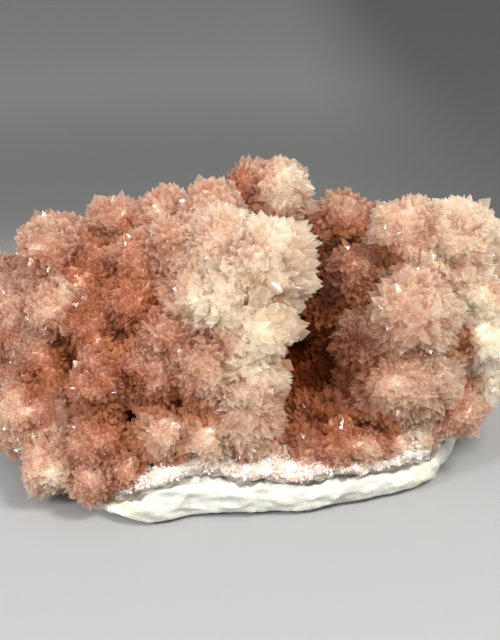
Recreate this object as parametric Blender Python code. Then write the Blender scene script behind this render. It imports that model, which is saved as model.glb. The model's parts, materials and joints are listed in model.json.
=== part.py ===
"""Pink calcite specimen: balls of radiating dogtooth crystals, grown together on a banded white crust.

Lengths in the tables are millimetres, turned into metres where a mesh is made. +X runs to the viewer's right,
+Y away from the viewer and +Z up. The origin is on the flat underside of the crust.
"""

import math
import random

import bmesh
import bpy
from mathutils import Matrix, Vector

MM = 0.001

# Driving dimensions
SEAT_GAP = 0.3  # between the crystals and the crust that they stand on
CRYSTALS_PER_SQUARE_MM = 0.022  # dogtooth crystals on a ball's surface
HEART_CRYSTALS_PER_SQUARE_MM = 0.008  # and on the large balls at its heart, seen only between the others
FEWEST_CRYSTALS = 12
VALLEY_SHARE = 0.80  # the valleys between crystals are at this share of the ball's radius
TIP_SHARES = (1.0, 1.12)  # and the tips are at a share between these
TURN_SPREAD = 0.10  # crystals stray from even spacing by this share of the radius
KEPT_SHARE = 0.46  # of a mass's triangles, once small facets where crystals cross are merged

# Plan of the crust, anticlockwise from its front left corner: x, y, height of the grey seam, height of the rim
CRUST_PLAN = (
    (-38, -30, 3.5, 5),
    (-31, -34, 6, 9),
    (-24, -36.5, 9, 13),
    (-14, -33.5, 11, 15),
    (-3, -33, 9.5, 15),
    (8, -32.5, 8, 11.5),
    (20, -30, 8, 13),
    (32, -25.5, 7, 11.5),
    (43, -21, 7, 14),
    (50, -12, 8.5, 16),
    (54, 2, 8, 15),
    (52, 18, 8, 15),
    (42, 32, 8, 14),
    (22, 38, 8, 13),
    (0, 39, 9, 14),
    (-22, 37, 9, 14),
    (-42, 30, 8, 12),
    (-53, 16, 7, 11),
    (-53, 0, 6, 9),
    (-47, -17, 4.5, 7),
)
PLAN_STEPS = 2  # points made between two plan points
EDGE_ROUGHNESS = 0.45  # how far the broken edge wanders in and out

# Profile of the crust's broken edge, from the underside up: inset from the plan, which height the point goes
# with, and its rise above that
CRUST_PROFILE = (
    (3.2, "floor", 0.0),
    (0.6, "floor", 1.6),
    (0.0, "seam", -3.0),
    (0.8, "seam", -0.8),
    (2.3, "seam", 0.4),
    (1.5, "seam", 1.6),
    (2.2, "rim", -1.2),
    (4.6, "rim", 0.0),
    (14.0, "rim", 0.8),
)

# Balls of crystals on each mass: x, y, z of the middle, and the radius of the ball's outline
LEFT_BALLS = (
    # the crest beside the cleft, from the top down
    (-9, 2, 63, 8.2),
    (-6, -10, 60, 8.5),
    (4, -13, 56.5, 11),
    (3, -19, 44, 9),
    (0.5, -24, 32, 8.8),
    (-1, -25, 20.5, 9),
    # the upper edge, from the crest to the far left
    (-16, -5, 57, 8.4),
    (-21, 10, 60.5, 7),
    (-26, -4, 54, 7.5),
    (-34, 15, 56, 8),
    (-38, -2, 50, 7.5),
    (-48, 4, 54, 9),
    (-63, 12, 40, 9),
    # the front, from the crest to the left
    (-12, -17, 50, 7.4),
    (-18, -20, 43, 7),
    (-27, -13, 46, 7),
    (-37, -11, 41, 8),
    (-46, -8, 43, 7.5),
    (-59, -2, 37, 9.2),
    (-10, -24, 35, 7.5),
    (-23, -21, 33, 8.6),
    (-34, -21, 30, 8),
    (-48, -12, 31, 7.5),
    (-64, 2, 26, 8.5),
    # the foot, along the crust's front edge and past its left end
    (-11, -29, 19, 6),
    (-20, -28, 20, 7.4),
    (-35, -25, 16, 8.2),
    (-52, -14, 19, 10),
    (-28, -31, 13, 4.6),
    (-37, -30, 9, 5.8),
    (-47, -24, 10, 8),
    (-58, -10, 11, 7.5),
    # the back
    (-12, 11, 50, 8.4),
    (-25, 23, 47, 10),
    (-46, 20, 44, 11),
    (-60, 18, 26, 10),
    (-33, 31, 34, 10.5),
    (-50, 29, 23, 10),
    (-19, 28, 30, 9.5),
    (-34, 34, 19, 9),
    (-19, 34, 18, 8),
)
RIGHT_BALLS = (
    # the top
    (39, 6, 57, 9.2),
    (51, 4, 56.5, 10),
    (27, 6, 46, 8.2),
    (64, 6, 42, 8.8),
    # the front
    (39, -11, 43, 10.6),
    (38, -13, 27, 11),
    (56, -3, 43, 7.6),
    (60, -4, 27, 9.5),
    (57, -8, 35, 7),
    (50, -13, 19, 7.4),
    (29, -7, 34, 8.6),
    # the shaded wall inside the cleft
    (22.5, 8, 33, 9),
    (24, 3, 21, 10),
    (35, -7, 18, 7),
    # the floor of the cleft, and along the crust's front edge
    (14, -2, 15, 7.5),
    (12, 10, 15, 7),
    (15, -12, 14, 7),
    (13, -19, 13, 5.5),
    (21, -23, 15, 6),
    (13.5, -26, 13, 4),
    (28, -22, 14, 4.8),
    (35, -19.5, 13, 4.5),
    (43, -16, 14, 4.6),
    # the back
    (49, 19, 46, 10.5),
    (61, 17, 37, 9.5),
    (46, 26, 31, 10),
    (58, 22, 24, 10),
    (46, 30, 20, 8.5),
    (65, 8, 29, 7.5),
)
REAR_BALLS = (
    # the taller column, left
    (6, 22, 62.5, 9.4),
    (-1, 21, 64.5, 5.6),
    (6, 23, 51, 9.6),
    # the shorter column, right
    (25, 26, 53.5, 7.8),
    (19, 28, 49, 7),
    (23, 28, 42, 9),
    # the wall between them
    (15, 27, 39, 8),
    (14, 28, 28, 8.5),
)
# The heart of each mass, in larger balls that overlap: a ball too far from the nearest grows on a stalk
LEFT_HEARTS = (
    (-30, 3, 38, 18),
    (-46, 5, 34, 18),
    (-17, -2, 42, 16),
    (-22, 14, 26, 15),
    (-36, 15, 24, 17),
    (-40, -8, 23, 15),
    (-17, -10, 28, 14.5),
    (-3, -11, 45, 12),
    (-4, -14, 27, 11),
    (-53, 0, 22, 13),
)
RIGHT_HEARTS = (
    (46, 5, 42, 16),
    (44, 1, 26, 16),
    (48, 13, 27, 15),
    (30, -7, 20, 11),
)
REAR_HEARTS = (
    (6, 27, 39, 11),
    (6, 30, 24, 11),
    (22, 31, 20, 10.5),
    (23, 30, 31, 10),
)
STALK_FROM = 0.4  # a ball has a stalk if its middle is this share of its radius outside the heart
STALK_SHARE = 0.6  # a stalk's radius, as a share of its ball's radius
STALK_SIDES = 5

# name: balls, hearts, seed, and the foot where the piece's own origin is
MASSES = {
    "left_crystal_mass": (LEFT_BALLS, LEFT_HEARTS, 13, (-24, 0, 12)),
    "right_crystal_mass": (RIGHT_BALLS, RIGHT_HEARTS, 15, (44, 4, 14)),
    "rear_crystal_columns": (REAR_BALLS, REAR_HEARTS, 37, (14, 30, 13)),
}


def clear_scene():
    for obj in list(bpy.data.objects):
        bpy.data.objects.remove(obj)


def material(name, colour, roughness):
    made = bpy.data.materials.new(name)
    made.use_nodes = True
    shader = made.node_tree.nodes["Principled BSDF"]
    shader.inputs["Base Color"].default_value = (*colour, 1)
    shader.inputs["Roughness"].default_value = roughness
    shader.inputs["Metallic"].default_value = 0
    return made


def new_object(name, mesh, parent=None):
    obj = bpy.data.objects.new(name, mesh)
    bpy.context.scene.collection.objects.link(obj)
    obj.parent = parent
    return obj


def closed_curve(points, steps):
    """Catmull-Rom curve through the points and back to the first, with this many points made per stretch."""
    count = len(points)
    made = []
    for i in range(count):
        corners = [points[(i + k) % count] for k in (-1, 0, 1, 2)]
        for step in range(steps):
            t = step / steps
            weights = (
                (-t + 2 * t**2 - t**3) / 2,
                (2 - 5 * t**2 + 3 * t**3) / 2,
                (t + 4 * t**2 - 3 * t**3) / 2,
                (-(t**2) + t**3) / 2,
            )
            made.append([sum(w * value for w, value in zip(weights, values)) for values in zip(*corners)])
    return made


def crust_mesh(name, grow):
    """The crust as rings of points, one for each row of its profile, with its faces moved out by grow."""
    rng = random.Random(5)
    plan = closed_curve(CRUST_PLAN, PLAN_STEPS)
    bm = bmesh.new()
    rings = []
    for inset, datum, rise in CRUST_PROFILE:
        ring = []
        for x, y, seam, rim in plan:
            outward = Vector((x, y)).normalized()
            stray = rng.uniform(-EDGE_ROUGHNESS, EDGE_ROUGHNESS)
            foot = Vector((x, y)) - outward * (inset + stray - grow)
            height = {"floor": 0, "seam": seam, "rim": rim}[datum] + rise
            height += stray * 0.5 if rise else 0
            height += -grow if datum == "floor" and not rise else grow
            ring.append(bm.verts.new(Vector((foot.x, foot.y, height)) * MM))
        rings.append(ring)
    count = len(plan)
    for lower, upper in zip(rings, rings[1:]):
        for i in range(count):
            j = (i + 1) % count
            bm.faces.new((lower[i], lower[j], upper[j], upper[i]))
    bm.faces.new(list(reversed(rings[0])))
    middle = bm.verts.new(sum((vert.co for vert in rings[-1]), Vector()) / count)
    for i in range(count):
        bm.faces.new((rings[-1][i], rings[-1][(i + 1) % count], middle))
    bmesh.ops.triangulate(bm, faces=[face for face in bm.faces if len(face.verts) == 4])
    mesh = bpy.data.meshes.new(name)
    bm.to_mesh(mesh)
    bm.free()
    return mesh


def even_directions(count, rng):
    """Directions evenly over a sphere on a golden spiral, each strayed a little, all turned at random."""
    golden = math.pi * (3 - math.sqrt(5))
    turn = Matrix.Rotation(rng.uniform(0, math.tau), 3, "X")
    turn = turn @ Matrix.Rotation(rng.uniform(0, math.tau), 3, "Z")
    made = []
    for i in range(count):
        z = 1 - (2 * i + 1) / count
        across = math.sqrt(1 - z * z)
        stray = Vector([rng.uniform(-TURN_SPREAD, TURN_SPREAD) for _ in range(3)])
        point = Vector((across * math.cos(golden * i), across * math.sin(golden * i), z))
        made.append((turn @ (point + stray)).normalized())
    return made


def crystal_ball(ball, density, rng):
    """A ball of crystals: flat-sided pyramids, one on each cell of a sphere, that meet in the valleys."""
    middle = Vector(ball[:3])
    radius = ball[3]
    count = max(FEWEST_CRYSTALS, round(4 * math.pi * radius**2 * density))
    hull = bmesh.new()
    for direction in even_directions(count, rng):
        hull.verts.new(direction)
    bmesh.ops.convex_hull(hull, input=hull.verts)
    bm = bmesh.new()
    tips = {
        vert: bm.verts.new((middle + vert.co * radius * rng.uniform(*TIP_SHARES)) * MM)
        for vert in hull.verts
    }
    valleys = {
        face: bm.verts.new((middle + face.calc_center_median().normalized() * radius * VALLEY_SHARE) * MM)
        for face in hull.faces
    }
    for edge in hull.edges:
        one, other = edge.link_faces
        for vert in edge.verts:
            bm.faces.new((tips[vert], valleys[one], valleys[other]))
    bmesh.ops.recalc_face_normals(bm, faces=bm.faces)
    hull.free()
    mesh = bpy.data.meshes.new("ball")
    bm.to_mesh(mesh)
    bm.free()
    return mesh


def nearest_heart(ball, hearts):
    """The heart ball nearest to this ball's middle, and how far outside its valleys the middle is."""
    middle = Vector(ball[:3])
    gaps = [(Vector(heart[:3]) - middle).length - heart[3] * VALLEY_SHARE for heart in hearts]
    gap = min(gaps)
    return hearts[gaps.index(gap)], gap


def stalk(ball, heart):
    """A flat-sided prism from the middle of a ball to the middle of a heart ball."""
    start = Vector(ball[:3])
    run = Vector(heart[:3]) - start
    turn = run.to_track_quat("Z", "Y").to_matrix().to_4x4()
    bm = bmesh.new()
    bmesh.ops.create_cone(
        bm,
        cap_ends=True,
        segments=STALK_SIDES,
        radius1=ball[3] * STALK_SHARE * MM,
        radius2=ball[3] * STALK_SHARE * MM,
        depth=run.length * MM,
        matrix=Matrix.Translation((start + run / 2) * MM) @ turn,
    )
    mesh = bpy.data.meshes.new("stalk")
    bm.to_mesh(mesh)
    bm.free()
    return mesh


def outer_shell(mesh):
    """Deletes the small shells that the joining leaves: sealed pockets, and crumbs cut off by the crust."""
    bm = bmesh.new()
    bm.from_mesh(mesh)
    bmesh.ops.triangulate(bm, faces=bm.faces)
    left = set(bm.verts)
    shells = []
    while left:
        shell = set()
        edge_of_shell = [left.pop()]
        while edge_of_shell:
            vert = edge_of_shell.pop()
            shell.add(vert)
            for edge in vert.link_edges:
                other = edge.other_vert(vert)
                if other in left:
                    left.remove(other)
                    edge_of_shell.append(other)
        shells.append(shell)
    keep = max(shells, key=len)
    bmesh.ops.delete(bm, geom=[vert for vert in bm.verts if vert not in keep], context="VERTS")
    bm.to_mesh(mesh)
    bm.free()


def apply_modifiers(obj):
    graph = bpy.context.evaluated_depsgraph_get()
    made = bpy.data.meshes.new_from_object(obj.evaluated_get(graph))
    obj.modifiers.clear()
    obj.data = made


def boolean(obj, operation, meshes):
    """Joins these closed meshes to the object, or cuts them from it, and keeps its outer shell."""
    operands = bpy.data.collections.new(operation)
    bpy.context.scene.collection.children.link(operands)
    for mesh in meshes:
        operands.objects.link(bpy.data.objects.new(mesh.name, mesh))
    modifier = obj.modifiers.new(operation, "BOOLEAN")
    modifier.operation = operation
    modifier.operand_type = "COLLECTION"
    modifier.collection = operands
    modifier.solver = "EXACT"
    # merged facets may cross each other by a hair, so the cut looks for that
    modifier.use_self = operation == "DIFFERENCE"
    apply_modifiers(obj)
    for operand in list(operands.objects):
        bpy.data.objects.remove(operand)
    bpy.data.collections.remove(operands)
    outer_shell(obj.data)


def merge_small_facets(obj):
    modifier = obj.modifiers.new("merge", "DECIMATE")
    modifier.ratio = KEPT_SHARE
    apply_modifiers(obj)


def crystal_mass(name, balls, hearts, seed, foot, parent, finish):
    """Hearts, stalks and balls joined into one solid, cut to stand on the crust with the seat gap."""
    rng = random.Random(seed)
    solids = []
    for ball in balls:
        heart, gap = nearest_heart(ball, hearts)
        if gap > ball[3] * STALK_FROM:
            solids.append(stalk(ball, heart))
        solids.append(crystal_ball(ball, CRYSTALS_PER_SQUARE_MM, rng))
    for heart in hearts:
        solids.append(crystal_ball(heart, HEART_CRYSTALS_PER_SQUARE_MM, rng))
    obj = new_object(name, solids[-1], parent)
    boolean(obj, "UNION", solids[:-1])
    merge_small_facets(obj)
    boolean(obj, "DIFFERENCE", [crust_mesh("seat", SEAT_GAP)])
    obj.data.name = name
    obj.data.transform(Matrix.Translation(-Vector(foot) * MM))
    obj.data.materials.clear()
    obj.data.materials.append(finish)
    obj.location = Vector(foot) * MM


def crust(parent, finish):
    mesh = crust_mesh("matrix_crust", 0)
    mesh.materials.append(finish)
    return new_object("matrix_crust", mesh, parent)


clear_scene()
specimen = new_object("specimen", None)
calcite = material("pink_calcite", (0.78, 0.42, 0.30), 0.25)
white_rock = material("white_crust", (0.86, 0.83, 0.76), 0.6)
crust(specimen, white_rock)
for mass_name, (mass_balls, mass_hearts, mass_seed, mass_foot) in MASSES.items():
    crystal_mass(mass_name, mass_balls, mass_hearts, mass_seed, mass_foot, specimen, calcite)
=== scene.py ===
import json
import math

import bmesh
import bpy
import numpy as np
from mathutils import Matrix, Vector
from mathutils.bvhtree import BVHTree

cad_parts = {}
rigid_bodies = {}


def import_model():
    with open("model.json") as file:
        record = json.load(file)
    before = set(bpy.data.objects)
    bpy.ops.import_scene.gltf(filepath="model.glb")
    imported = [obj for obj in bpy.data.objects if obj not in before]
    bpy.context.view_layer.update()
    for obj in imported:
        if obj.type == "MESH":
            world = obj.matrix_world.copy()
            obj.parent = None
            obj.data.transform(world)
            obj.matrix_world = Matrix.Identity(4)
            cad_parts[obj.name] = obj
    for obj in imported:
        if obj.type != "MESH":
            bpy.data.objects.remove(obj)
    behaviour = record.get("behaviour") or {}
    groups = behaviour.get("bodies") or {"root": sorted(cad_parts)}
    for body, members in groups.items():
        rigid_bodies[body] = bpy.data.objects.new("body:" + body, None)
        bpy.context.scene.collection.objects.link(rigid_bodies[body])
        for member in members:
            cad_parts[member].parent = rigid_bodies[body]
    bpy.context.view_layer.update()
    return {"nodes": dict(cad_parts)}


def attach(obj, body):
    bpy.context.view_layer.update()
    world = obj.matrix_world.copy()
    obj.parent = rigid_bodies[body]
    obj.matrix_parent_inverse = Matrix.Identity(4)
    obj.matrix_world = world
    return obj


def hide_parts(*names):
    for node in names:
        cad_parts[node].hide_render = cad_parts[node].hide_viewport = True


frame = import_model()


# Crust
# The broken slab that the crystals grew from: chalky white rock below, a thin wavy seam of grey, and a sugary
# layer of small pink-white crystals above it. It was split off the wall of a pocket, so its edge is broken
# and its underside flat.
MM = 0.001
CRUST_PLAN = (
    # x, y, height of the grey seam and height of the rim, anticlockwise from the front left corner
    (-38, -30, 3.5, 5),
    (-31, -34, 6, 9),
    (-24, -36.5, 9, 13),
    (-14, -33.5, 11, 15),
    (-3, -33, 9.5, 15),
    (8, -32.5, 8, 11.5),
    (20, -30, 8, 13),
    (32, -25.5, 7, 11.5),
    (43, -21, 7, 14),
    (50, -12, 8.5, 16),
    (54, 2, 8, 15),
    (52, 18, 8, 15),
    (42, 32, 8, 14),
    (22, 38, 8, 13),
    (0, 39, 9, 14),
    (-22, 37, 9, 14),
    (-42, 30, 8, 12),
    (-53, 16, 7, 11),
    (-53, 0, 6, 9),
    (-47, -17, 4.5, 7),
)
CRUST_GRAIN = 0.62 * MM  # size of the mesh's faces
THINNEST_LAYER = 1.5 * MM  # from the seam to the rim
FLAT_FOOT = 1.5 * MM  # the relief dies away over this height, so that the underside stays flat
SEAM_WANDER = 0.5  # mm that the seam swings up and down, and in small ripples
SEAM_RIPPLE = 0.2
SEAM_DEPTH = 0.6 * MM  # the seam is softer and has worn back
SEAM_WIDTH = 0.45 * MM
STRAND = 1.3 * MM  # a second, fainter groove runs this far above it
STRAND_WIDTH = 0.5 * MM
SHELF = 0.5 * MM  # the sugary layer stands proud of the seam
SHELF_RISE = 1.2 * MM
BREAKS = (0.45, 0.3)  # mm of relief on the broken planes, in the white rock and in the layer above it
LUMPS = (0.12, 0.42)  # mm of relief on the small lumps, the same way
BREAK_SIZES = (15 * MM, 8 * MM)
LUMP_SIZES = (3.4 * MM, 2.1 * MM)
WHITE = (0.60, 0.59, 0.53)
WHITE_SHADE = (0.49, 0.48, 0.42)
CLOUD_SIZE = 9 * MM  # the shaded clouds in the white rock
CLOUD_SHARE = 0.7
VEIN = (0.38, 0.34, 0.29)
VEIN_GAP = 14 * MM
VEIN_SHARE = 0.35
SEAM_GREY = (0.20, 0.165, 0.135)
SEAM_BEIGE = (0.42, 0.345, 0.29)
SEAM_SWINGS = 3  # mm that the thin dark strands of the seam swing up and down
STRAND_GAP = 0.9  # mm from one to the next
SUGARY = (0.76, 0.59, 0.51)
SUGARY_WHITE = (0.90, 0.86, 0.81)
CREAM_STAIN = (0.72, 0.66, 0.45)
CREAM_STAINS = (((-28, -34, 5), 9), ((41, -20, 4), 5))  # their middles and how far they reach, in mm
STAIN_SHARE = 0.7
DARK_PATCH = (((-27.5, -34, 8), 5),)  # a darker stretch of the seam
ROOT_STAIN = (0.62, 0.30, 0.19)  # above the rim, where the crystals are rooted
ROUGH_SHARE = 0.6  # how much the fine roughness adds to the grains
ROUGHNESS_DEPTH = 0.3 * MM


class Value:
    """A socket of a node tree that takes part in Python sums."""

    def __init__(self, tree, socket):
        self.tree = tree
        self.socket = socket

    def _math(self, operation, one, other):
        return Wiring(self.tree).node("ShaderNodeMath", {"operation": operation}, in_order=(one, other))

    def __add__(self, other):
        return self._math("ADD", self, other)

    def __radd__(self, other):
        return self._math("ADD", other, self)

    def __sub__(self, other):
        return self._math("SUBTRACT", self, other)

    def __rsub__(self, other):
        return self._math("SUBTRACT", other, self)

    def __mul__(self, other):
        return self._math("MULTIPLY", self, other)

    def __rmul__(self, other):
        return self._math("MULTIPLY", other, self)

    def __pow__(self, other):
        return self._math("POWER", self, other)


def connect(tree, given, socket):
    """Links a value to the socket, or sets the socket to a plain number, colour or name."""
    if isinstance(given, Value):
        tree.links.new(given.socket, socket)
    elif isinstance(given, tuple) and socket.type == "RGBA":
        socket.default_value = (*given, 1)
    else:
        socket.default_value = given


class Wiring:
    """A node tree, and the one way that a node is put in it."""

    def __init__(self, tree):
        self.tree = tree

    def node(self, kind, settings=None, output=0, in_order=(), **values):
        """Makes the settings first, then gives values or links to the sockets, in order or by name."""
        node = self.tree.nodes.new(kind)
        for setting, value in (settings or {}).items():
            setattr(node, setting, value)
        sockets = [socket for socket in node.inputs if socket.enabled]
        for value, socket in zip(in_order, sockets):
            connect(self.tree, value, socket)
        for label, value in values.items():
            name = label.replace("_", " ")
            connect(self.tree, value, next(socket for socket in sockets if socket.name == name))
        return Value(self.tree, [socket for socket in node.outputs if socket.enabled][output])


class Finish(Wiring):
    """A material with one Principled shader, and the nodes that feed it."""

    def __init__(self, name, **uniform):
        self.material = bpy.data.materials.new(name)
        self.material.use_nodes = True
        super().__init__(self.material.node_tree)
        self.shader = self.tree.nodes["Principled BSDF"]
        self.feed(**uniform)

    def feed(self, **sockets):
        for label, value in sockets.items():
            connect(self.tree, value, self.shader.inputs[label.replace("_", " ")])

    def place(self):
        return self.node("ShaderNodeTexCoord", output=3)

    def noise(self, size, detail=4.0, roughness=0.6, squeeze=(1, 1, 1)):
        """Cloudy noise from 0 to 1, with blotches about this big."""
        place = self.node("ShaderNodeMapping", Vector=self.place(), Scale=squeeze)
        return self.node(
            "ShaderNodeTexNoise", Vector=place, Scale=1 / size, Detail=detail, Roughness=roughness
        )

    def cells(self, size):
        """Grains about this big, 0 at the middle of each."""
        return self.node("ShaderNodeTexVoronoi", Vector=self.place(), Scale=1 / size)

    def told(self, name):
        """What the mesh says at each point under this name."""
        return self.node("ShaderNodeAttribute", {"attribute_name": name}, output=2)

    def ramp(self, value, low, high):
        """0 below low, 1 above high and a smooth rise between."""
        settings = {"interpolation_type": "SMOOTHSTEP"}
        return self.node("ShaderNodeMapRange", settings, Value=value, From_Min=low, From_Max=high)

    def line(self, value, width):
        """1 where the value is 0, and 0 where it is further from 0 than the width."""
        return 1 - self.ramp(value * value, (width / 3) ** 2, width**2)

    def around(self, spots):
        """1 at the spots and 0 beyond their reach, both in millimetres."""
        found = 0.0
        distance = {"operation": "DISTANCE"}
        for spot, reach in spots:
            middle = tuple(part * MM for part in spot)
            away = self.node("ShaderNodeVectorMath", distance, in_order=(self.place(), middle))
            found = found + 1 - self.ramp(away, 0.3 * reach * MM, reach * MM)
        return found

    def mixed(self, share, one, other):
        return self.node("ShaderNodeMix", {"data_type": "RGBA"}, Factor=share, A=one, B=other)

    def bump(self, height, depth):
        return self.node("ShaderNodeBump", Height=height, Distance=depth, Strength=1.0)

    def glossy(self):
        """The Principled shader itself."""
        return Value(self.tree, self.shader.outputs[0])

    def soft(self, kind, colour):
        """A shader of one colour: "Diffuse" sends the light back, "Translucent" lets it through scattered,
        and "Transparent" lets it straight through."""
        return self.node("ShaderNodeBsdf" + kind, Color=colour)

    def blend(self, share, one, other):
        """One shader with this share of the other mixed in."""
        return self.node("ShaderNodeMixShader", in_order=(share, one, other))

    def show(self, shader):
        connect(self.tree, shader, self.tree.nodes["Material Output"].inputs[0])


def new_object(name, data):
    """An object in the scene with this mesh, lamp or camera."""
    obj = bpy.data.objects.new(name, data)
    bpy.context.scene.collection.objects.link(obj)
    return obj


def applied(obj):
    """Turns the object and its modifiers into a plain mesh."""
    graph = bpy.context.evaluated_depsgraph_get()
    made = bpy.data.meshes.new_from_object(obj.evaluated_get(graph))
    obj.modifiers.clear()
    obj.data = made
    return obj


def remeshed(obj, grain):
    """The object with one closed skin of even faces about this big."""
    remesh = obj.modifiers.new("skin", "REMESH")
    remesh.mode = "VOXEL"
    remesh.voxel_size = grain
    return applied(obj)


def merged_copy(node, name):
    """A copy of a solid of the frame, with its loose triangles joined."""
    bm = bmesh.new()
    bm.from_mesh(frame["nodes"][node].data)
    bmesh.ops.remove_doubles(bm, verts=bm.verts, dist=0.001 * MM)
    mesh = bpy.data.meshes.new(name)
    bm.to_mesh(mesh)
    bm.free()
    return new_object(name, mesh)


def vectors(mesh, name):
    """The places ("co") or the directions ("normal") of the mesh's points."""
    found = np.empty(len(mesh.vertices) * 3)
    mesh.vertices.foreach_get(name, found)
    return found.reshape(-1, 3)


def tell(mesh, name, values):
    """Stores a number, or a direction, for each point of the mesh under this name."""
    directions = np.ndim(values) == 2
    attribute = mesh.attributes.new(name, "FLOAT_VECTOR" if directions else "FLOAT", "POINT")
    attribute.data.foreach_set("vector" if directions else "value", np.ravel(values))


def waves(places, lengths, seed):
    """Smooth relief between about -1 and 1: crossed sine waves of these lengths in random directions."""
    rng = np.random.default_rng(seed)
    total = np.zeros(len(places))
    for length in lengths:
        for _ in range(5):
            ray = rng.normal(size=3)
            ray /= np.linalg.norm(ray)
            total += np.sin(places @ ray * 2 * np.pi / length + rng.uniform(0, 2 * np.pi))
    return total / (2.2 * len(lengths) ** 0.5)


def round_the_plan(places, column):
    """One of the plan's heights, carried round the crust by the angle from its middle."""
    plan = np.array(CRUST_PLAN, float)
    plan_angles = np.unwrap(np.arctan2(plan[:, 1], plan[:, 0]))
    angles = np.arctan2(places[:, 1], places[:, 0])
    angles = np.where(angles < plan_angles[0], angles + math.tau, angles)
    whole_turn = np.append(plan_angles, plan_angles[0] + math.tau)
    return np.interp(angles, whole_turn, np.append(plan[:, column], plan[0, column])) * MM


crust = remeshed(merged_copy("matrix_crust", "crust_rock"), CRUST_GRAIN)
places = vectors(crust.data, "co")
seam = round_the_plan(places, 2)
wander = waves(places, (6 * MM, 12 * MM), 3) * SEAM_WANDER * MM
seam += wander + waves(places, (2.5 * MM,), 4) * SEAM_RIPPLE * MM
rim = round_the_plan(places, 3)
above_seam = places[:, 2] - seam
# 0 at the seam, 1 at the rim, and less than 0 in the white rock below
layer = above_seam / np.maximum(rim - seam, THINNEST_LAYER)
tell(crust.data, "layer", layer)
tell(crust.data, "above_seam", above_seam)
worn = np.clip(0.6 + waves(places, (9 * MM,), 5) * 0.6, 0, 1)
groove = -SEAM_DEPTH * worn * np.exp(-((above_seam / SEAM_WIDTH) ** 2))
groove -= 0.5 * SEAM_DEPTH * (1 - worn) * np.exp(-(((above_seam - STRAND) / STRAND_WIDTH) ** 2))
shelf = SHELF * np.clip(above_seam / SHELF_RISE - 0.5, 0, 1) * np.clip(2.0 - layer, 0, 1)
in_rock = above_seam < 0
breaks = (0.5 - np.abs(waves(places * (1, 1, 1.4), BREAK_SIZES, 7))) * np.where(in_rock, *BREAKS) * MM
lumps = waves(places, LUMP_SIZES, 9) * np.where(in_rock, *LUMPS) * MM
off_the_floor = np.clip(places[:, 2] / FLAT_FOOT, 0, 1)
relief = (groove + shelf + breaks + lumps) * off_the_floor
places += vectors(crust.data, "normal") * relief[:, None]
crust.data.vertices.foreach_set("co", places.ravel())
crust.data.update()

rock = Finish("white_crust_rock", Roughness=0.6, IOR=1.5, Subsurface_Weight=0.12, Subsurface_Scale=1.2 * MM)
height = rock.told("layer")
above = rock.told("above_seam") * (1 / MM) + (rock.noise(2.5 * MM, 3.0) - 0.5) * 1.2
clouds = rock.ramp(rock.noise(CLOUD_SIZE, 4.0, 0.6, (1, 1, 1.6)), 0.40, 0.66)
body = rock.mixed(clouds * CLOUD_SHARE, WHITE, WHITE_SHADE)
veins = rock.line(rock.noise(VEIN_GAP, 5.0, 0.6, (1, 1, 1.8)) - 0.5, 0.014)
body = rock.mixed(veins * VEIN_SHARE, body, VEIN)
stain = rock.around(CREAM_STAINS) * rock.ramp(rock.noise(5 * MM), 0.35, 0.60)
body = rock.mixed(stain * STAIN_SHARE, body, CREAM_STAIN)
pink = rock.mixed(rock.ramp(rock.noise(4 * MM), 0.38, 0.60), SUGARY, SUGARY_WHITE)
body = rock.mixed(rock.ramp(above, 0.6, 2.0), body, pink)
patchy = rock.ramp(rock.noise(8 * MM, 2.0), 0.38, 0.62)
band = rock.ramp(above, -0.2, 0.1) * (1 - rock.ramp(above, 1.6, 3.2))
body = rock.mixed(band * (0.35 + 0.65 * patchy), body, SEAM_BEIGE)
bending = above + (rock.noise(5 * MM, 3.0) - 0.5) * SEAM_SWINGS
layers = rock.node("ShaderNodeMath", {"operation": "PINGPONG"}, in_order=(bending, STRAND_GAP / 2))
strands = rock.line(above, 0.5) * (0.5 + 0.5 * patchy)
strands = strands + band * rock.line(layers, 0.22) * (0.35 + 0.4 * patchy)
dark = band * rock.around(DARK_PATCH) * rock.ramp(rock.noise(2.5 * MM), 0.35, 0.55)
body = rock.mixed(rock.ramp(strands + dark, 0.0, 1.0), body, SEAM_GREY)
body = rock.mixed(rock.ramp(height, 0.95, 1.25), body, ROOT_STAIN)
grains = rock.cells(0.9 * MM) * rock.ramp(above, 0.5, 1.5)
roughness = rock.noise(1.5 * MM, 6.0, 0.6) * ROUGH_SHARE
rock.feed(Base_Color=body, Normal=rock.bump(roughness + grains, ROUGHNESS_DEPTH))
crust.data.materials.clear()
crust.data.materials.append(rock.material)
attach(crust, "root")
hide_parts("matrix_crust")


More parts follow.
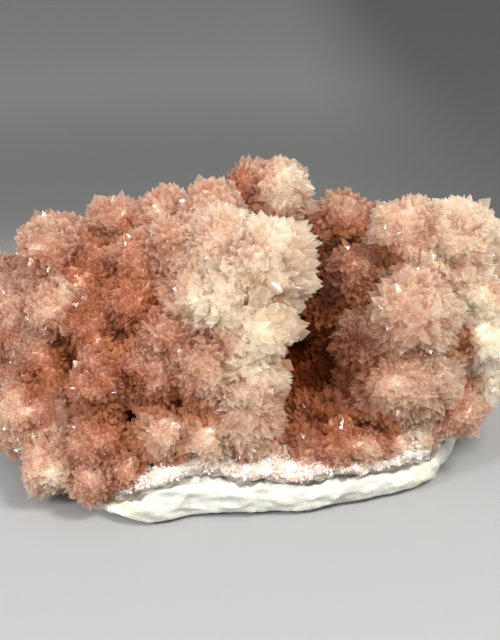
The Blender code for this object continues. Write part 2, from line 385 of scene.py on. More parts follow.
# Left crystal mass
# Calcite in balls of dogtooth crystals that radiate from the middle of each ball, salmon pink at the root
# and clear cream at the tip. The balls grew into one another as they spread up and out from the crust's left.
LEFT_BALLS = (
    # x, y, z of the middle, the radius of the ball's outline, how large its crystals are and how pale, where
    # below 0 is painted shade
    # the crest beside the cleft, from the top down
    (-9, 2, 63, 8.2, 0.67, 0.3),
    (-6, -10, 60, 8.5, 0.56, 0.8),
    (4, -13, 56.5, 11, 0.75, 0.82),
    (3, -19, 44, 9, 0.68, 1),
    (-0.5, -24, 32, 8.4, 0.56, 0.7),
    (-1, -24.5, 21.5, 8.5, 0.47, 0.5),
    (-5, -17, 50, 8.5, 0.68, 0.95),
    (-5.5, -20.5, 41, 8, 0.68, 0.75),
    (0.5, -21, 38, 8, 0.59, 1),
    (-0.5, -25, 26, 8.4, 0.51, 0.6),
    # the upper edge, from the crest to the far left
    (-16, -5, 57, 8.4, 0.49, 0.35),
    (-21, 10, 60.5, 7, 0.52, 0.35),
    (-26, -4, 54, 7.5, 0.49, 0.25),
    (-34, 15, 56, 8, 0.52, 0.3),
    (-38, -2, 50, 7.5, 0.49, 0.15),
    (-48, 4, 54, 9, 0.54, 0.2),
    (-63, 12, 40, 9, 0.49, 0.25),
    # the front, from the crest to the left
    (-12, -17, 50, 7.4, 0.54, 0.45),
    (-18, -20, 43, 7, 0.49, 0.25),
    (-27, -13, 46, 7, 0.46, 0.05),
    (-37, -11, 41, 8, 0.46, 0.05),
    (-46, -8, 43, 7.5, 0.49, 0.3),
    (-59, -2, 37, 9.2, 0.46, 0.45),
    (-10, -24, 35, 7.5, 0.51, 0.3),
    (-23, -21, 33, 8.6, 0.46, 0),
    (-34, -21, 30, 8, 0.46, 0.05),
    (-48, -12, 31, 7.5, 0.46, 0.15),
    (-64, 2, 26, 8.5, 0.46, 0.35),
    # the foot, along the crust's front edge and past its left end
    (-11, -28.5, 20, 5.6, 0.49, 0.6),
    (-20, -28, 20.8, 7, 0.54, 0.75),
    (-35, -25, 16, 8.2, 0.46, 0.2),
    (-52, -14, 19, 10, 0.46, 0.3),
    (-28, -31, 13, 4.6, 0.46, 0.2),
    (-37, -30, 9, 5.8, 0.49, 0.35),
    (-47, -24, 10, 8, 0.49, 0.6),
    (-58, -10, 11, 7.5, 0.46, 0.35),
    # the back
    (-12, 11, 50, 8.4, 0.55, 0.5),
    (-25, 23, 47, 10, 0.63, 0.4),
    (-46, 20, 44, 11, 0.63, 0.35),
    (-60, 18, 26, 10, 0.55, 0.3),
    (-33, 31, 34, 10.5, 0.63, 0.4),
    (-50, 29, 23, 10, 0.56, 0.3),
    (-19, 28, 30, 9.5, 0.59, 0.3),
    (-34, 34, 19, 9, 0.55, 0.3),
    (-19, 34, 18, 8, 0.55, 0.3),
)
LEFT_HEARTS = (
    # x, y, z of the middle and the radius of each round part of the massive calcite inside
    (-30, 3, 38, 18),
    (-46, 5, 34, 18),
    (-17, -2, 42, 16),
    (-22, 14, 26, 15),
    (-36, 15, 24, 17),
    (-40, -8, 23, 15),
    (-17, -10, 28, 14.5),
    (-3, -11, 45, 12),
    (-4, -14, 27, 11),
    (-53, 0, 22, 13),
)
LEFT_PATCHES = (
    # x, y, z of the middle, the reach, and the shift in paleness, which below 0 makes a hollow, pushed in and
    # painted dark as shade
    (-43, -14, 34, 8, -0.9),
    (-42, -17, 30.5, 5.5, -0.7),
    (-53, -17, 30, 5.5, -0.9),
    (-27, -26.5, 32.5, 4.5, -0.8),
    (-23, -28, 28, 6, -0.7),
    (-18, -24, 26, 6.5, -0.7),
    (-14, -19, 20, 6, -0.5),
    (-35, -26, 25.6, 6.5, -0.6),
    (-22.5, -16, 46, 7, -0.45),
    (-39, -15, 47, 6, -0.55),
    (-41, -6, 54.5, 5.5, -0.6),
    (-7, -24, 41, 4.5, -0.7),
    (-30, -30, 17.5, 9, -0.35),
    (-16, -25, 44, 6, -0.3),
    (7.5, -22.5, 38.5, 5, -1),
    (-28, -14, 42, 14, -0.4),
    (-31, -8, 51, 12, -0.3),
    # and above 0 a paler tuft, partly the crystals' own paler colour and partly a painted highlight
    (-48.5, 0, 62, 9, 0.35),
    (-43.5, -11, 48, 7, 0.45),
    (-22.5, 4, 64, 6, 0.7),
    (-9, -4, 70, 5.5, 0.8),
    (-34, 18, 62, 7, 0.3),
    (-10, -24, 50, 8, 0.55),
    (0, -29, 36.5, 9, 0.25),
    (-58.5, -19, 22, 7, 0.25),
    (-45, -31, 10, 7, 0.45),
    (-3, -30, 44, 6, 0.3),
)
HOLLOW = 3.5 * MM  # how far a hollow is pushed in where the shift is -1
RELIEF_LIGHT_AND_SHADE = 0.12  # painted light and shade: crystals on the rises are painted paler by this, and in the dips deeper
HEART_CRYSTALS = 0.5  # the size of the crystals on the hearts, seen between the balls
CRYSTAL_LENGTH = 5.4 * MM  # for crystals of size 1, as are the next three
CRYSTAL_WIDTH = 4.0 * MM
ROOT_DEPTH = 3.6 * MM  # the crystals' roots are this far inside the ball's outline
SPACING = 1.22 * MM
GRADES = {
    # the smallest and the largest size in each grade, with a little overlap, and the size for its spacing
    "coarse": (0.61, 2.0, 0.65),
    "medium": (0.49, 0.63, 0.52),
    "fine": (0.0, 0.51, 0.46),
}
DENSEST = 6 / MM**2  # crystals tried on each square metre before those nearer than the spacing are dropped
CORE_GRAIN = 1.4 * MM  # size of the faces that the crystals stand on
CREASE = 1.8 * MM  # the creases between the balls are filled as round as this
ROUNDING = 6  # rounds of smoothing
UNEVEN = (13 * MM, 7 * MM, 4.5 * MM)  # the balls aren't quite round
UNEVENNESS = 0.6 * MM
FANS = 11 * MM  # crystals lean together in fans about this wide
FAN_LEAN = 0.4
RAY_BLEND = 5 * MM  # this far off a ball the crystals no longer follow its rays
SQUARE = 0.15  # and on it they lean this little towards standing square to the surface
UNEVEN_SIZE = 0.16  # the crystals' size swings by this share over places this wide
SIZE_WAVES = (5 * MM,)
SIZE_BLEND = 1.6 * MM  # over this distance the crystals of one ball give way to those of the next
COLOUR_BLEND = 3.5 * MM
COLOUR_WAVES = (12 * MM, 5 * MM)  # patches of deeper and paler colour, and how strong they are
COLOUR_PATCHES = 0.7
STALK_SHARE = 0.6  # a stalk is this share of its ball's radius
STALK_STEP = 2 * MM
BELT_SHARES = (0.54, 0.56)  # a large and a small dogtooth are widest at this share of their length
BELT_RADII = (0.5, 0.43)  # of the belt's upper and lower corners, for crystals of width 1
LENGTHS = (0.74, 1.14)  # from the shortest to the longest of one size
WIDTHS = (0.70, 1.20)
LARGEST_MORE = 0.5  # and a few outgrow the others by up to this much more
STRAY = 0.22  # how far the crystals stray from the ball's rays
LOOKS = 18  # directions in which a place looks for what stands round it
SIDEWAYS = 0.15  # only those that lean out at least this much count
REACH = 22 * MM  # a place is shut in by what stands nearer than this
CLEARANCE = 1.5 * MM  # it looks from this far beyond the crystals' tips
CLOSED = 0.9  # where it is shut in more than this, no crystals are seen and none are made
SHADED = (0.27, 0.60)  # how shut in a place is where the painted shade starts and where it is full
ROOT_COLOUR = (0.56, 0.24, 0.14)  # of the massive calcite
CRYSTAL_ROOT = (0.67, 0.33, 0.20)  # of the crystals in the open, from the root to the tip
SALMON = (0.62, 0.34, 0.23)
SALMON_TIP = (0.94, 0.79, 0.69)
PALE_ROOT = (0.96, 0.83, 0.65)  # and of the palest
CREAM = (0.97, 0.89, 0.76)
CREAM_TIP = (0.96, 0.92, 0.84)
RECESS_SHADE_COLOUR = (0.54, 0.22, 0.10)  # painted shade: the colour of what is shaded by its neighbours
CLEFT_SHADE_COLOUR = (0.27, 0.06, 0.018)  # and painted shade of what is deep in the cleft and the hollows
FROST_AND_GLINT_WHITE = (0.98, 0.95, 0.92)
PINK_LIGHT = (0.73, 0.42, 0.28)  # what comes through the crystals
CREAM_LIGHT = (1.0, 0.95, 0.86)
CREASE_SHADE_SHARE = 0.35  # painted shade: how much darker the colour is painted in the creases between the balls
SHADE_SHARE = 0.85  # and in the shade
GLINT_SIZE = 1.1 * MM  # the faces' shine comes and goes in spots about this big
GLOW = 0.8  # share of the light that a crystal in the open lets through and scatters
GLOW_LOST = 0.3  # the shade takes this share of it
DULL = 0.45  # share of a shaded crystal turned into dull painted shade that neither shines nor lets light through
SEE_THROUGH = 0.48  # share of what stands behind a crystal that is plainly seen through it


def crystal_shapes(name, corners, belt_share, styles):
    """Calcite dogteeth of length and width 1: a point above and a point below a zigzag belt of corners."""
    shapes = bpy.data.collections.new(name)
    bpy.context.scene.collection.children.link(shapes)
    for flatness, zigzag, lean in styles:
        belt = []
        for corner in range(corners):
            angle = math.tau * corner / corners
            radius, up = (BELT_RADII[0], zigzag) if corner % 2 == 0 else (BELT_RADII[1], -zigzag)
            belt.append((radius * math.cos(angle), radius * flatness * math.sin(angle), belt_share + up))
        points = [(0, 0, 0), *belt, (lean, 0, 1)]
        faces = []
        for corner in range(corners):
            after = (corner + 1) % corners
            faces.append((0, 1 + after, 1 + corner))
            faces.append((corners + 1, 1 + corner, 1 + after))
        mesh = bpy.data.meshes.new(name)
        mesh.from_pydata(points, [], faces)
        tell(mesh, "along", [z for _, _, z in points])
        shapes.objects.link(bpy.data.objects.new(f"{name}_{len(shapes.objects)}", mesh))
    return shapes


class Growth(Wiring):
    """A Geometry Nodes tree that grows crystals on a core, and the nodes that it is made of."""

    def __init__(self, name, sizes):
        super().__init__(bpy.data.node_groups.new(name, "GeometryNodeTree"))
        for label, kind in {"Core": "Geometry", **sizes}.items():
            self.tree.interface.new_socket(label, in_out="INPUT", socket_type="NodeSocket" + kind)
        self.tree.interface.new_socket("Crystals", in_out="OUTPUT", socket_type="NodeSocketGeometry")
        self.inputs = self.tree.nodes.new("NodeGroupInput").outputs
        self.outcome = self.tree.nodes.new("NodeGroupOutput").inputs[0]

    def given(self, label):
        return Value(self.tree, self.inputs[label])

    def told(self, name, kind="FLOAT"):
        return self.node("GeometryNodeInputNamedAttribute", {"data_type": kind}, Name=name)

    def chance(self, low, high, seed, kind="FLOAT"):
        return self.node("FunctionNodeRandomValue", {"data_type": kind}, Min=low, Max=high, Seed=seed)


# each style says how flat the crystal is, how far its belt zigzags and how far its tip leans
large_shapes = crystal_shapes(
    "large_dogtooth",
    6,
    BELT_SHARES[0],
    ((0.80, 0.06, 0.03), (0.62, 0.08, -0.06), (0.90, 0.04, 0.0), (0.70, 0.10, 0.08)),
)
small_shapes = crystal_shapes(
    "small_dogtooth",
    4,
    BELT_SHARES[1],
    ((0.80, 0.05, 0.03), (0.60, 0.03, -0.06), (0.90, 0.06, 0.0), (0.70, 0.04, 0.08)),
)

growth = Growth(
    "crystal_growth",
    {
        "Chosen": "String",
        "Spacing": "Float",
        "Length": "Float",
        "Width": "Float",
        "Seed": "Int",
        "Shapes": "Collection",
        "Finish": "Material",
    },
)
roots = growth.node(
    "GeometryNodeDistributePointsOnFaces",
    {"distribute_method": "POISSON"},
    Mesh=growth.given("Core"),
    Selection=growth.told(growth.given("Chosen"), "BOOLEAN"),
    Distance_Min=growth.given("Spacing"),
    Density_Max=DENSEST,
    Seed=growth.given("Seed"),
)
stray = growth.chance((-STRAY, -STRAY, -STRAY), (STRAY, STRAY, STRAY), 1, "FLOAT_VECTOR")
turned = growth.node(
    "FunctionNodeAlignRotationToVector",
    {"axis": "Z"},
    Vector=growth.node("ShaderNodeVectorMath", in_order=(growth.told("ray", "FLOAT_VECTOR"), stray)),
)
spin = growth.node("FunctionNodeAxisAngleToRotation", Axis=(0, 0, 1), Angle=growth.chance(0.0, math.tau, 2))
own_axes = {"rotation_space": "LOCAL"}
turned = growth.node("FunctionNodeRotateRotation", own_axes, Rotation=turned, Rotate_By=spin)
size = growth.told("size") * (1 + LARGEST_MORE * growth.chance(0.0, 1.0, 7) ** 10)
length = growth.given("Length") * size * growth.chance(*LENGTHS, 3)
width = growth.given("Width") * size * growth.chance(*WIDTHS, 4)
crystals = growth.node(
    "GeometryNodeInstanceOnPoints",
    Points=roots,
    Instance=growth.node(
        "GeometryNodeCollectionInfo",
        {"transform_space": "ORIGINAL"},
        Collection=growth.given("Shapes"),
        Separate_Children=True,
        Reset_Children=True,
    ),
    Pick_Instance=True,
    Instance_Index=growth.chance(0, 3, 5, "INT"),
    Rotation=turned,
    Scale=growth.node("ShaderNodeCombineXYZ", X=width, Y=width, Z=length),
)
crystals = growth.node(
    "GeometryNodeStoreNamedAttribute",
    {"data_type": "FLOAT", "domain": "INSTANCE"},
    Geometry=crystals,
    Name="chance",
    Value=growth.chance(0.0, 1.0, 6),
)
grown = growth.node("GeometryNodeRealizeInstances", Geometry=crystals)
grown = growth.node("GeometryNodeSetMaterial", Geometry=grown, Material=growth.given("Finish"))
connect(growth.tree, grown, growth.outcome)


def grow(name, surface, grade, spacing, shapes, seed, finish):
    """A piece with crystals on the surface's places of this grade."""
    piece = new_object(name, surface.data)
    modifier = piece.modifiers.new(grade, "NODES")
    modifier.node_group = growth.tree
    wanted = {
        "Chosen": grade,
        "Spacing": spacing,
        "Length": CRYSTAL_LENGTH,
        "Width": CRYSTAL_WIDTH,
        "Seed": seed,
        "Shapes": shapes,
        "Finish": finish.material,
    }
    for item in growth.tree.interface.items_tree:
        if item.name in wanted:
            modifier[item.identifier] = wanted[item.name]
    return applied(piece)


def solid_around():
    """Everything that the frame holds, as one surface to cast rays at."""
    corners = []
    faces = []
    for obj in frame["nodes"].values():
        first = len(corners)
        corners += [vertex.co for vertex in obj.data.vertices]
        faces += [[first + corner for corner in face.vertices] for face in obj.data.polygons]
    return BVHTree.FromPolygons(corners, faces)


def even_rays(count):
    """Directions evenly spread over a sphere, on a golden spiral."""
    turns = np.arange(count)
    heights = 1 - (2 * turns + 1) / count
    widths = np.sqrt(1 - heights**2)
    angles = turns * math.pi * (3 - 5**0.5)
    return np.stack([widths * np.cos(angles), widths * np.sin(angles), heights], 1)


def shut_in(mesh, places, outward, clearance):
    """How shut in each place is, from 0 in the open to 1 deep in a cleft."""
    rays = even_rays(LOOKS)
    starts = places + outward * clearance[:, None]
    met = np.zeros(len(places))
    for index, (start, out) in enumerate(zip(starts, outward)):
        start = Vector(start)
        facing = rays[rays @ out > SIDEWAYS]
        met[index] = np.mean([whole_specimen.ray_cast(start, ray, REACH)[0] is not None for ray in facing])
    edges = np.empty(len(mesh.edges) * 2, int)
    mesh.edges.foreach_get("vertices", edges)
    one, other = edges.reshape(-1, 2).T
    neighbours = np.bincount(edges, minlength=len(met))
    # evened out with the neighbouring places
    for _ in range(4):
        sums = np.bincount(one, met[other], len(met)) + np.bincount(other, met[one], len(met))
        met = (met + sums) / (1 + neighbours)
    return met


def outer_skin(obj):
    """Keeps the largest of the object's loose parts, because the remesh also skins the hollows inside."""
    bm = bmesh.new()
    bm.from_mesh(obj.data)
    unseen = set(bm.verts)
    parts = []
    while unseen:
        part = [unseen.pop()]
        for vert in part:
            for edge in vert.link_edges:
                other = edge.other_vert(vert)
                if other in unseen:
                    unseen.remove(other)
                    part.append(other)
        parts.append(part)
    parts.sort(key=len)
    bmesh.ops.delete(bm, geom=[vert for part in parts[:-1] for vert in part], context="VERTS")
    bm.to_mesh(obj.data)
    bm.free()
    return obj


def shifts(places, patches):
    """What the patches add to the paleness of each place."""
    total = np.zeros(len(places))
    for *middle, reach, shift in patches:
        away = np.linalg.norm(places / MM - middle, axis=1) / reach
        total += shift * np.clip(1 - away**2, 0, None) ** 2
    return total


def core(name, balls, hearts, patches):
    """The surface that crystals grow from: every ball up to its crystals' roots, and the stalk it is on."""
    balls = np.array(balls) * (MM, MM, MM, MM, 1, 1)
    hearts = np.array([(*heart, HEART_CRYSTALS, 0) for heart in hearts]) * (MM, MM, MM, MM, 1, 1)
    everything = np.vstack([balls, hearts])
    roots = everything[:, 3] - ROOT_DEPTH * everything[:, 4]
    bm = bmesh.new()
    for place, radius in zip(everything[:, :3], roots):
        made = bmesh.ops.create_icosphere(bm, subdivisions=3, radius=radius + CREASE)
        bmesh.ops.translate(bm, verts=made["verts"], vec=place)
    for ball in balls:
        gaps = np.linalg.norm(hearts[:, :3] - ball[:3], axis=1) - hearts[:, 3]
        run = hearts[gaps.argmin(), :3] - ball[:3]
        steps = max(1, round(np.linalg.norm(run) / STALK_STEP))
        for step in range(1, steps):
            made = bmesh.ops.create_icosphere(bm, subdivisions=2, radius=ball[3] * STALK_SHARE + CREASE)
            bmesh.ops.translate(bm, verts=made["verts"], vec=ball[:3] + run * step / steps)
    mesh = bpy.data.meshes.new(name)
    bm.to_mesh(mesh)
    bm.free()
    obj = outer_skin(remeshed(new_object(name, mesh), CORE_GRAIN))
    shrunk = vectors(obj.data, "co") - vectors(obj.data, "normal") * CREASE
    obj.data.vertices.foreach_set("co", shrunk.ravel())
    rounding = obj.modifiers.new("rounding", "SMOOTH")
    rounding.iterations = ROUNDING
    applied(obj)
    places = vectors(obj.data, "co")
    rises = waves(places, UNEVEN, 5)
    shift = shifts(places, patches)
    places += vectors(obj.data, "normal") * (rises * UNEVENNESS + np.clip(shift, -1, 0) * HOLLOW)[:, None]
    obj.data.vertices.foreach_set("co", places.ravel())
    obj.data.update()
    apart = np.linalg.norm(places[:, None] - everything[None, :, :3], axis=2) - roots
    nearest = apart[:, : len(balls)].argmin(1)
    # next to a ball the crystals follow its rays, and further off they stand square to the surface
    near = np.clip(1 - apart[np.arange(len(places)), nearest] / RAY_BLEND, 0, 1)[:, None]
    ray = places - everything[nearest, :3]
    ray /= np.linalg.norm(ray, axis=1)[:, None]
    ray = ray * near + vectors(obj.data, "normal") * (1 + SQUARE - near)
    ray += FAN_LEAN * np.stack([waves(places, (FANS,), seed) for seed in (61, 62, 63)], 1)
    ray /= np.linalg.norm(ray, axis=1)[:, None]
    # from ball to ball the crystals' size changes little by little, and their paleness still more slowly
    off_the_balls = np.clip(apart[:, : len(balls)], 0, None)
    shares = np.exp(-off_the_balls / SIZE_BLEND)
    size = shares @ balls[:, 4] / shares.sum(1) * (1 + UNEVEN_SIZE * waves(places, SIZE_WAVES, 64))
    shares = np.exp(-off_the_balls / COLOUR_BLEND)
    paleness = shares @ balls[:, 5] / shares.sum(1)
    # the paleness carries painted light and shade: paler on the rises, deeper in the dips, and the patches'
    # shade and highlights
    tell(obj.data, "paleness", paleness + np.where(paleness > 0, rises * RELIEF_LIGHT_AND_SHADE, 0) + shift)
    tell(obj.data, "patch", np.clip(0.5 + COLOUR_PATCHES * waves(places, COLOUR_WAVES, 65), 0, 1))
    tell(obj.data, "ray", ray)
    tell(obj.data, "size", size)
    closed_in = shut_in(obj.data, places, ray, ROOT_DEPTH * size + CLEARANCE)
    tell(obj.data, "shut_in", closed_in)
    tell(obj.data, "crease", np.clip(apart.min(1) / CREASE, 0, 1))
    for grade, (smallest, largest, _) in GRADES.items():
        tell(obj.data, grade, (closed_in < CLOSED) * (size >= smallest) * (size < largest) * 1.0)
    return obj


def crystal_mass(side, balls, hearts, patches, seed):
    """The mass: the massive calcite that the crystals' roots are in, and the crystals of each grade."""
    middle = core(side + "_massive_calcite", balls, hearts, patches)
    middle.data.materials.append(massive.material)
    pieces = [middle]
    for grade, shapes in (("coarse", large_shapes), ("medium", small_shapes), ("fine", small_shapes)):
        if any(place.value for place in middle.data.attributes[grade].data):
            spacing = SPACING * GRADES[grade][2]
            pieces.append(grow(f"{side}_{grade}_crystals", middle, grade, spacing, shapes, seed, calcite))
    return pieces


massive = Finish("massive_pink_calcite", Roughness=0.45, IOR=1.58)
patch = massive.ramp(massive.noise(22 * MM, 2.0), 0.35, 0.65)
colour = massive.mixed(patch * 0.5, ROOT_COLOUR, SALMON)
colour = massive.mixed(massive.told("paleness"), colour, CREAM)
# painted shade: the massive calcite is darker where it is shut in, and darkest in the cleft and the hollows
colour = massive.mixed(massive.ramp(massive.told("shut_in"), *SHADED), colour, RECESS_SHADE_COLOUR)
in_cleft = massive.ramp(0 - massive.told("paleness"), 0.0, 1.0)
massive.feed(Base_Color=massive.mixed(in_cleft, colour, CLEFT_SHADE_COLOUR))

# tinted at the crystals' roots, clear and pale at their tips
calcite = Finish(
    "pink_calcite_crystal", IOR=1.58, Transmission_Weight=0.5, Coat_Roughness=0.04, Coat_IOR=1.8
)
along = calcite.told("along")
chance = calcite.told("chance")
paleness = calcite.told("paleness")
shade = calcite.ramp(calcite.told("shut_in"), *SHADED)
in_cleft = calcite.ramp(0 - paleness, 0.0, 1.0)
root = calcite.mixed(paleness, CRYSTAL_ROOT, PALE_ROOT)
body = calcite.mixed(paleness, SALMON, CREAM)
tip = calcite.mixed(paleness, SALMON_TIP, CREAM_TIP)
colour = calcite.mixed(calcite.ramp(along, 0.20, 0.70) * (0.5 + 0.5 * calcite.told("patch")), root, body)
colour = calcite.mixed(calcite.ramp(along, 0.70, 1.0) * (0.4 + 0.6 * chance), colour, tip)
colour = calcite.mixed(calcite.told("crease") * CREASE_SHADE_SHARE, colour, ROOT_COLOUR)
# a few crystals have white tips, partly frosted and partly painted glints, and the palest places are white
# all over, where crystals broke off and as painted highlights
colour = calcite.mixed(calcite.ramp(chance, 0.90, 0.94) * calcite.ramp(along, 0.60, 0.90), colour, FROST_AND_GLINT_WHITE)
colour = calcite.mixed(calcite.ramp(paleness, 1.0, 1.5), colour, FROST_AND_GLINT_WHITE)
# painted shade: shut-in crystals are darker and duller, and those in the cleft and the hollows darkest
colour = calcite.mixed(shade * SHADE_SHARE, colour, RECESS_SHADE_COLOUR)
calcite.feed(
    Base_Color=calcite.mixed(in_cleft, colour, CLEFT_SHADE_COLOUR),
    Roughness=0.12 + shade * 0.3,
    Coat_Weight=(1 - shade) * calcite.ramp(calcite.noise(GLINT_SIZE, 0.0), 0.32, 0.46),
)
clear = paleness + (1 - paleness) * (0.5 * calcite.ramp(along, 0.60, 1.0))
through = calcite.blend(
    clear, calcite.soft("Translucent", PINK_LIGHT), calcite.soft("Translucent", CREAM_LIGHT)
)
in_the_open = calcite.blend(GLOW * (1 - GLOW_LOST * shade), calcite.glossy(), through)
in_the_dark = calcite.blend(
    in_cleft, calcite.soft("Diffuse", RECESS_SHADE_COLOUR), calcite.soft("Diffuse", CLEFT_SHADE_COLOUR)
)
solid = calcite.blend(1 - (1 - in_cleft) * (1 - DULL * shade), in_the_open, in_the_dark)
calcite.show(calcite.blend(SEE_THROUGH, solid, calcite.soft("Transparent", (1, 1, 1))))

whole_specimen = solid_around()
for piece in crystal_mass("left", LEFT_BALLS, LEFT_HEARTS, LEFT_PATCHES, seed=11):
    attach(piece, "root")
    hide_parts("left_crystal_mass")


# Right crystal mass
# The same calcite on the right of the cleft, coarser and paler on top. The druse that carpets the cleft's
# floor and the crust's front edge has grown into its foot.
RIGHT_BALLS = (
    # the top
    (39, 6, 57, 9.2, 0.55, 0.55),
    (51, 4, 56.5, 10, 0.63, 0.8),
    (27, 6, 46, 8.2, 0.51, 0.15),
    (64, 6, 42, 8.8, 0.63, 0.8),
    # the front
    (39, -11, 43, 10.6, 0.67, 0.58),
    (38, -13, 27, 11, 0.55, 0.6),
    (56, -3, 43, 7.6, 0.59, 0.7),
    (60, -4, 27, 9.5, 0.56, 0.9),
    (57, -8, 35, 7, 0.56, 1.6),
    (50, -13, 19, 7.4, 0.54, 0.3),
    (29, -7, 34, 8.6, 0.54, 0.05),
    # the shaded wall inside the cleft, its shade painted on by paleness below 0
    (22.5, 8, 33, 9, 0.52, -0.7),
    (24, 3, 21, 10, 0.52, -1),
    (35, -7, 18, 7, 0.52, -0.4),
    # the floor of the cleft, painted in shade by paleness below 0, and along the crust's front edge
    (14, -2, 15, 7.5, 0.52, -1),
    (12, 10, 15, 7, 0.52, -1),
    (15, -12, 14, 7, 0.51, -0.7),
    (13, -19, 13, 5.5, 0.49, 0.25),
    (21, -23, 15, 6, 0.51, -0.05),
    (13.5, -26, 13, 4, 0.44, 0.2),
    (28, -22, 14, 4.8, 0.46, 0.3),
    (35, -19.5, 13, 4.5, 0.46, 0.3),
    (43, -16, 14, 4.6, 0.46, 0.35),
    # the back
    (49, 19, 46, 10.5, 0.63, 0.5),
    (61, 17, 37, 9.5, 0.59, 0.5),
    (46, 26, 31, 10, 0.63, 0.4),
    (58, 22, 24, 10, 0.59, 0.35),
    (46, 30, 20, 8.5, 0.55, 0.3),
    (65, 8, 29, 7.5, 0.56, 0.5),
)
RIGHT_HEARTS = (
    (46, 5, 42, 16),
    (44, 1, 26, 16),
    (48, 13, 27, 15),
    (30, -7, 20, 11),
)
RIGHT_PATCHES = (
    (55, -11, 39, 9, 1.35),
    (55, -10, 27.5, 10, 0.9),
    (28, -26.5, 14.5, 6, 0.4),
    (40, -20, 15, 6.5, 0.8),
    # below 0, painted shade in the recesses above the druse
    (46, -13, 35, 5, -0.35),
    (31.5, -18, 15.5, 6, -1.2),
    (26, -20, 18, 4.5, -1),
    (16, -18, 17.5, 5, -0.6),
)
for piece in crystal_mass("right", RIGHT_BALLS, RIGHT_HEARTS, RIGHT_PATCHES, seed=23):
    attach(piece, "root")
    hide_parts("right_crystal_mass")


# Rear crystal columns
# Two columns of the same calcite, with paler crystals on the taller one. They grew up from the crust behind
# the cleft, and a low wall joins them at their feet.
REAR_BALLS = (
    # the taller column, left
    (6, 22, 62.5, 9.4, 0.63, 0.72),
    # the small ball on its left is painted darker as shade, by paleness below 0
    (-1, 21, 64.5, 5.6, 0.51, -0.15),
    (6, 23, 51, 9.6, 0.59, 0.5),
    # the shorter column, right
    (25, 26, 53.5, 7.8, 0.63, 0.1),
    (19, 28, 49, 7, 0.54, 0),
    (23, 28, 42, 9, 0.55, 0.1),
    # the wall between them
    (15, 27, 39, 8, 0.55, 0.1),
    (14, 28, 28, 8.5, 0.55, 0.1),
)
REAR_HEARTS = (
    (6, 27, 39, 11),
    (6, 30, 24, 11),
    (22, 31, 20, 10.5),
    (23, 30, 31, 10),
)
REAR_PATCHES = (
    (24.5, 22, 59, 6, 0.45),
    (11, 16, 66, 8, 0.4),
    # painted shade on the top of the small ball left of the taller column
    (-3, 16, 66, 7, -0.5),
)
for piece in crystal_mass("rear", REAR_BALLS, REAR_HEARTS, REAR_PATCHES, seed=37):
    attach(piece, "root")
    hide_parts("rear_crystal_columns")


# Sugary rim
# Small frosted calcite crystals that cover the upper layer of the crust's broken edge, where there was too
# little room for balls to grow.
RIM_CRYSTALS = 0.23  # their size, on the same scale as the balls' crystals
RIM_UNEVEN = 0.35
RIM_SPACING = 0.44  # the size for their spacing, as in GRADES
RIM_STRAY = 0.45
RIM_FROM = 0.42  # of the way from the seam to the rim
SUGAR_PINK = (0.90, 0.74, 0.65)
SUGAR_WHITE = (0.96, 0.93, 0.89)
SUGAR_PINK_LIGHT = (0.94, 0.80, 0.71)  # what comes through them
SUGAR_WHITE_LIGHT = (0.97, 0.94, 0.90)
SUGAR_GLOW = 0.55
SUGAR_SEE_THROUGH = 0.3

rim_mesh = crust.data.copy()
bm = bmesh.new()
bm.from_mesh(rim_mesh)
layer_told = bm.verts.layers.float["layer"]
bare = [face for face in bm.faces if min(vert[layer_told] for vert in face.verts) < RIM_FROM]
bmesh.ops.delete(bm, geom=bare, context="FACES")
bm.to_mesh(rim_mesh)
bm.free()
rim_places = vectors(rim_mesh, "co")
leaning = np.random.default_rng(43).normal(0, RIM_STRAY, (len(rim_places), 3))
tell(rim_mesh, "ray", vectors(rim_mesh, "normal") + leaning)
tell(rim_mesh, "size", RIM_CRYSTALS * (1 + RIM_UNEVEN * waves(rim_places, SIZE_WAVES, 44)))
tell(rim_mesh, "sugary", np.ones(len(rim_mesh.vertices)))
rim_surface = new_object("rim_surface", rim_mesh)

sugar = Finish("sugary_crystal", Roughness=0.22, IOR=1.58, Coat_Weight=0.3, Coat_Roughness=0.08)
whiter = sugar.ramp(sugar.noise(5 * MM), 0.38, 0.54)
sugar_colour = sugar.mixed(whiter, SUGAR_PINK, SUGAR_WHITE)
sugar.feed(Base_Color=sugar.mixed(sugar.told("chance") * 0.6, sugar_colour, SUGAR_WHITE))
through = sugar.blend(
    whiter, sugar.soft("Translucent", SUGAR_PINK_LIGHT), sugar.soft("Translucent", SUGAR_WHITE_LIGHT)
)
grain = sugar.blend(SUGAR_GLOW, sugar.glossy(), through)
sugar.show(sugar.blend(SUGAR_SEE_THROUGH, grain, sugar.soft("Transparent", (1, 1, 1))))

rim_spacing = SPACING * RIM_SPACING
rim_piece = grow("sugary_rim", rim_surface, "sugary", rim_spacing, small_shapes, seed=41, finish=sugar)
bpy.data.objects.remove(rim_surface)
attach(rim_piece, "root")

# every crystal is made by now, so the patterns that they were copied from go
for shapes in (large_shapes, small_shapes):
    for shape in list(shapes.objects):
        bpy.data.objects.remove(shape)
    bpy.data.collections.remove(shapes)


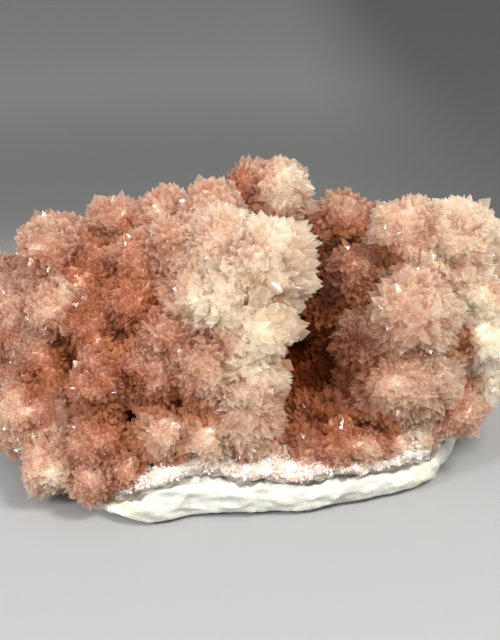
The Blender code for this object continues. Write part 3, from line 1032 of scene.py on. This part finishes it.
# Floor, light and camera
# A plain grey floor with a painted pool of light round the specimen and painted shade beyond it, darkest
# behind it on the right. A soft light stands high on the right and a weaker one on the left, with two small
# ones for glints. The camera looks down a little.
FLOOR_REACH = 6
FLOOR_NEAR = (0.265, 0.265, 0.265)
FLOOR_BEHIND = (0.096, 0.096, 0.094)
FLOOR_FAR = (0.165, 0.165, 0.162)
FLOOR_RIGHT = (0.066, 0.066, 0.065)
NEAR_TO_BEHIND = (0.09, 0.22)  # m from the specimen's middle, as is the next
BEHIND_TO_FAR = (0.25, 0.50)
TO_THE_RIGHT = (0.03, 0.14)
SKY_COLOUR = (0.97, 0.99, 1, 1)
SKY_STRENGTH = 0.76
LAMPS = {
    # the place, the width in metres, the watts and the colour
    "key": ((0.24, -0.19, 0.46), 0.14, 3.3, (1, 0.97, 0.93)),
    "fill": ((-0.42, -0.30, 0.28), 0.10, 2.9, (0.96, 0.98, 1)),
    # small and bright, for the glints on the crystals' faces
    "left glints": ((-0.16, -0.30, 0.42), 0.02, 0.3, (1, 1, 1)),
    "right glints": ((0.10, -0.34, 0.36), 0.02, 0.3, (1, 1, 1)),
}
LAMP_TARGET = Vector((0, 0, 0.04))
LENS = 56.25  # mm, on a sensor this wide
SENSOR = 36
CAMERA_TARGET = Vector((0, 0, 0.0365))
CAMERA_TILT = math.radians(25)
CAMERA_DISTANCE = 0.25

floor_corners = [(x * FLOOR_REACH, y * FLOOR_REACH, 0) for x, y in ((-1, -1), (1, -1), (1, 1), (-1, 1))]
floor_mesh = bpy.data.meshes.new("floor")
floor_mesh.from_pydata(floor_corners, [], [(0, 1, 2, 3)])
floor = new_object("floor", floor_mesh)
foam = Finish("floor_pale", Roughness=0.9)
away = foam.node("ShaderNodeVectorMath", {"operation": "LENGTH"}, Vector=foam.place())
behind = foam.mixed(foam.ramp(away, *BEHIND_TO_FAR), FLOOR_BEHIND, FLOOR_FAR)
sideways = foam.node("ShaderNodeSeparateXYZ", Vector=foam.place())
behind = foam.mixed(foam.ramp(sideways, *TO_THE_RIGHT), behind, FLOOR_RIGHT)
foam.feed(Base_Color=foam.mixed(foam.ramp(away, *NEAR_TO_BEHIND), FLOOR_NEAR, behind))
floor_mesh.materials.append(foam.material)

world = bpy.data.worlds.new("studio")
bpy.context.scene.world = world
world.use_nodes = True
background = world.node_tree.nodes["Background"]
background.inputs["Color"].default_value = SKY_COLOUR
background.inputs["Strength"].default_value = SKY_STRENGTH


def aim(obj, place, target):
    """Puts a lamp or the camera in its place and turns it to the target."""
    obj.location = place
    obj.rotation_euler = (target - obj.location).to_track_quat("-Z", "Y").to_euler()


for name, (place, width, watts, colour) in LAMPS.items():
    light = bpy.data.lights.new(name, "AREA")
    light.energy = watts
    light.size = width
    light.color = colour
    aim(new_object(name, light), place, LAMP_TARGET)

camera = new_object("camera", bpy.data.cameras.new("camera"))
camera.data.lens = LENS
camera.data.sensor_width = SENSOR
camera_side = Vector((0, -math.cos(CAMERA_TILT), math.sin(CAMERA_TILT)))
aim(camera, CAMERA_TARGET + CAMERA_DISTANCE * camera_side, CAMERA_TARGET)
bpy.context.scene.camera = camera
bpy.context.scene.view_settings.view_transform = "Standard"
